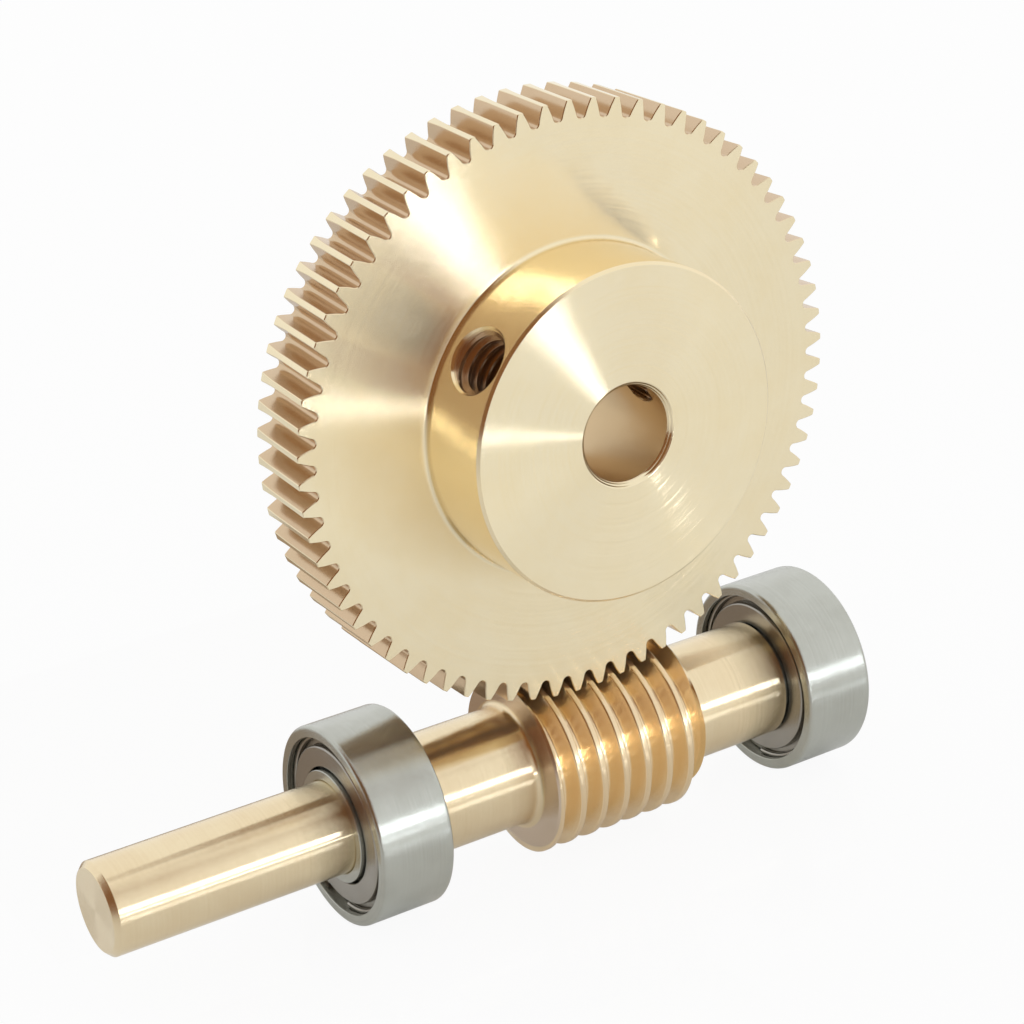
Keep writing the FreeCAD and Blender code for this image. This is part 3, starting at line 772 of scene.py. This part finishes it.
def make_snap_wire(name, along, opening_at, tree, material):
    """C-shaped round wire that springs out under the outer ring's lip."""
    blank = make_piece(name, bmesh.new())
    mesh = grow(blank, tree, material, ring_radius=WIRE_RING * MM, wire_radius=WIRE * MM,
                start_angle=math.radians(opening_at + WIRE_OPENING / 2),
                sweep=math.radians(360 - WIRE_OPENING))
    mesh.transform(Matrix.Translation((along * MM, 0, 0)) @ Matrix.Rotation(math.pi / 2, 4, "Y"))
    mesh.shade_smooth()
    mesh.set_sharp_from_angle(angle=math.radians(40))
    blank.data = mesh
    return blank


# Putting it together

def dress(piece, material, body, slot, *nodes):
    """Give a finished piece its material and body, and hide the nodes that it stands for. The slot
    is not used.
    """
    piece.data.materials.clear()
    piece.data.materials.append(material)
    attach(piece, body)
    if nodes:
        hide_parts(*nodes)


def dress_node(node, material):
    """Give a node that stays its finish."""
    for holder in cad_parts[node].material_slots:
        holder.material = material


ACROSS = (0, 1, 0)
ENDWAYS = (1, 0, 0)
WORM_MIDDLE = (WORM_START + WORM_END) / 2
brass_wheel = turned_metal(
    "Turned brass of the wheel", ACROSS, WHEEL_MIDDLE, colour(0.9, 0.79, 0.555),
    colour(0.87, 0.72, 0.44), gloss=0.13, cut_depth=0.7, feed=0.05, upright=0.41, lean=1.6,
    sides=0.1, zones=(
        # Teeth: painted shade, a darker brown on the flanks in the tooth spaces; the hobbed flanks
        # are also rougher
        (17.4, 19.01, 0, 3, colour(0.66, 0.49, 0.32), 0.1, True),
        # Screw holes: painted shade, a dark brown inside the holes, which are also rougher
        (3.05, 10.35, -SCREW_HEIGHT, 2.32, colour(0.52, 0.36, 0.22), 0.12, False),
        # Side of the hub: painted highlight, a bright gold band round the hub's side
        (10.3, 10.65, -5.4, 3, colour(0.95, 0.77, 0.46), 0, True),
        # Bore: painted shade, a darker tone inside the bore, which is also rougher
        (0, 3.01, 0, 9, colour(0.69, 0.52, 0.31), 0.2, True)))
brass_worm = turned_metal(
    "Turned brass of the worm shaft", ENDWAYS, (0, 0, 0), colour(0.87, 0.73, 0.49),
    colour(0.77, 0.59, 0.36), gloss=0.13, cut_depth=0.45, feed=0.05, zones=(
        # Grooves of the thread: painted bounce light, a lighter, more orange tone between the flanks
        (4.6, 5.97, WORM_MIDDLE, 5.6, colour(0.94, 0.76, 0.5), 0.02, False),
        # Crests of the thread: painted shade, a darker tone that keeps them from looking white; also
        # rougher
        (5.99, 6.1, WORM_MIDDLE, 5.6, colour(0.85, 0.67, 0.43), 0.08, False),
        # Face of the worm toward the stub: painted shade, a grey-brown tone; also rougher
        (4.3, 6.1, WORM_START, 0.1, colour(0.72, 0.59, 0.46), 0.08, False)))
steel_ring = turned_metal(
    "Ground steel of the rings", ENDWAYS, (0, 0, 0), colour(0.54, 0.55, 0.5),
    colour(0.4, 0.4, 0.35), gloss=0.2, cut_depth=0.5, feed=0.04)
steel_shield = turned_metal(
    "Pressed steel of the shields", ENDWAYS, (0, 0, 0), colour(0.43, 0.41, 0.37),
    colour(0.33, 0.31, 0.27), gloss=0.24, cut_depth=0.3, feed=0.08)
steel_wire = pressed_metal("Drawn steel of the snap wires", colour(0.5, 0.48, 0.43),
                           colour(0.36, 0.34, 0.3), gloss=0.3, grain=0.07)
steel_cage = pressed_metal("Pressed steel of the cages", colour(0.6, 0.59, 0.56),
                           colour(0.48, 0.47, 0.44), gloss=0.32, grain=0.1)
steel_ball = pressed_metal("Polished steel of the balls", colour(0.8, 0.8, 0.8),
                           colour(0.74, 0.74, 0.75), gloss=0.09, grain=0.3)

wheel = make_wheel(brass_wheel)
dress(wheel, brass_wheel, "wheel", "wheel_brass", "worm_wheel")
for index, degrees in enumerate(SCREW_ANGLES, start=1):
    thread = make_screw_thread("set_screw_thread_%d" % index, math.radians(degrees))
    dress(thread, brass_wheel, "wheel", "wheel_brass")
dress(make_worm_shaft(), brass_worm, "worm", "worm_brass", "worm_shaft")

wire_shape = snap_wire_tree()
for bearing, middle in BEARINGS.items():
    stand = turning((middle, 0, 0), ENDWAYS, (0, 0, 1))
    dress(make_outer_ring(bearing + "_outer", stand), steel_ring, "bearing_rings", "ring_steel",
          bearing + "_outer_ring")
    dress(make_inner_ring(bearing + "_inner", stand), steel_ring, "worm", "ring_steel",
          bearing + "_inner_ring")
    for side, sign, opening_at in (("input_side", -1, 10), ("far_side", 1, 60)):
        node = "%s_%s_" % (bearing, side)
        dress(make_shield(node + "cover", stand, sign), steel_shield, "bearing_rings",
              "shield_steel", node + "shield")
        wire = make_snap_wire(node + "wire", middle + sign * WIRE_PLACE, opening_at,
                              wire_shape, steel_wire)
        dress(wire, steel_wire, "bearing_rings", "wire_steel", node + "snap_wire")
        dress_node(node + "cage_half", steel_cage)
    dress_node(bearing + "_balls", steel_ball)


# Studio

LAMP_TINT = (0.84, 0.9, 1)
OBJECT_MIDDLE = Vector((0.012, 0, 0.016))


def flat_sheet(name, corners, material):
    """Flat four-cornered sheet that belongs to the studio."""
    mesh = bpy.data.meshes.new(name)
    mesh.from_pydata(corners, [], [(0, 1, 2, 3)])
    mesh.materials.append(material)
    sheet = bpy.data.objects.new(name, mesh)
    bpy.context.scene.collection.objects.link(sheet)
    return sheet


def toward(azimuth, elevation):
    """Direction from the object: azimuth 0 is toward -Y and 90 is toward +X."""
    turn, rise = math.radians(azimuth), math.radians(elevation)
    level = math.cos(rise)
    return Vector((math.sin(turn) * level, -math.cos(turn) * level, math.sin(rise)))


def hide_from_all_but_reflections(card):
    """Let a card show in reflections, and nowhere else."""
    card.visible_camera = False
    card.visible_diffuse = False
    card.visible_shadow = False
    card.visible_transmission = False


def hang_card(name, target, azimuth, elevation, distance, width, height, material):
    """Card facing the object, for the dark side of its reflections."""
    way = toward(azimuth, elevation)
    middle = target + way * distance
    facing = way.to_track_quat("Z", "Y").to_matrix()
    corners = [middle + facing @ Vector((x * width / 2, y * height / 2, 0))
               for x, y in ((-1, -1), (1, -1), (1, 1), (-1, 1))]
    hide_from_all_but_reflections(flat_sheet(name, corners, material))


def hang_lamp(name, target, azimuth, elevation, distance, width, height, level):
    """Soft box facing the object. Its level is how bright it looks, with 1 as white."""
    lamp = bpy.data.lights.new(name, "AREA")
    lamp.shape = "RECTANGLE"
    lamp.size, lamp.size_y = width, height
    lamp.color = LAMP_TINT
    lamp.energy = level * math.pi * width * height
    stand = bpy.data.objects.new(name, lamp)
    way = toward(azimuth, elevation)
    stand.location = target + way * distance
    stand.rotation_mode = "QUATERNION"
    stand.rotation_quaternion = way.to_track_quat("Z", "Y")
    stand.visible_camera = False
    bpy.context.scene.collection.objects.link(stand)


def light_room():
    """White surroundings for the camera and for reflections, and a plain soft level elsewhere."""
    world = bpy.data.worlds.new("White studio")
    bpy.context.scene.world = world
    world.use_nodes = True
    tree = world.node_tree
    tree.nodes.clear()
    path = tree.nodes.new("ShaderNodeLightPath")
    shown = tree.nodes.new("ShaderNodeMath")
    shown.operation = "MAXIMUM"
    through = tree.nodes.new("ShaderNodeMath")
    through.operation = "MAXIMUM"
    tree.links.new(path.outputs["Is Camera Ray"], shown.inputs[0])
    tree.links.new(path.outputs["Is Glossy Ray"], shown.inputs[1])
    tree.links.new(shown.outputs[0], through.inputs[0])
    tree.links.new(path.outputs["Is Transmission Ray"], through.inputs[1])
    plain = tree.nodes.new("ShaderNodeBackground")
    white = tree.nodes.new("ShaderNodeBackground")
    mix = tree.nodes.new("ShaderNodeMixShader")
    result = tree.nodes.new("ShaderNodeOutputWorld")
    for light, strength in ((plain, 0.75), (white, 1.0)):
        light.inputs["Color"].default_value = colour(1, 1, 1)
        light.inputs["Strength"].default_value = strength
    tree.links.new(through.outputs[0], mix.inputs[0])
    tree.links.new(plain.outputs[0], mix.inputs[1])
    tree.links.new(white.outputs[0], mix.inputs[2])
    tree.links.new(mix.outputs[0], result.inputs["Surface"])


reach = 2.5
table = -RING_OUTSIDE * MM - 0.00002
flat_sheet("table_top", [(-reach, -reach, table), (reach, -reach, table), (reach, reach, table),
                         (-reach, reach, table)], floor_paper())
hang_card("camera_side_card", OBJECT_MIDDLE, azimuth=-62, elevation=35, distance=0.45, width=0.9,
          height=0.78, material=card_brown())
paper = table + 0.0001
hide_from_all_but_reflections(flat_sheet("paper_in_front", [
    (-0.04, -0.048, paper), (0.08, -0.048, paper), (0.12, -0.23, paper), (-0.06, -0.23, paper)],
    plain_glow("White paper", colour(0.92, 0.92, 0.9))))
# Painted shade: a glowing brown sheet on the table behind the bearings, seen only in reflections,
# standing in for the table in the wheel's shadow.
hide_from_all_but_reflections(flat_sheet("painted_shade_strip_behind", [
    (-0.019, 0.006, paper), (0.026, 0.006, paper), (0.026, 0.045, paper), (-0.019, 0.045, paper)],
    plain_glow("Glowing brown painted shade", colour(0.36, 0.28, 0.21))))
hang_lamp("key_lamp", OBJECT_MIDDLE, azimuth=13, elevation=8, distance=0.45, width=0.06,
          height=0.078, level=16)
hang_lamp("low_strip_lamp", MM * Vector(WHEEL_MIDDLE), azimuth=-8, elevation=-11.5,
          distance=0.12, width=0.02, height=0.004, level=18)
light_room()

camera = bpy.data.objects.new("camera", bpy.data.cameras.new("camera"))
bpy.context.scene.collection.objects.link(camera)
rightward = Vector((0.84121, -0.53788, -0.0552))
forward = Vector((0.47659, 0.78582, -0.39415))
camera.location = MM * Vector((-68.356, -132.351, 83.602))
camera.rotation_mode = "QUATERNION"
camera.rotation_quaternion = Matrix(
    (rightward, rightward.cross(forward), -forward)).transposed().to_quaternion()
camera.data.sensor_width = 36
camera.data.lens = 95.63
camera.data.clip_start = 0.01
bpy.context.scene.camera = camera
bpy.context.scene.view_settings.view_transform = "Standard"
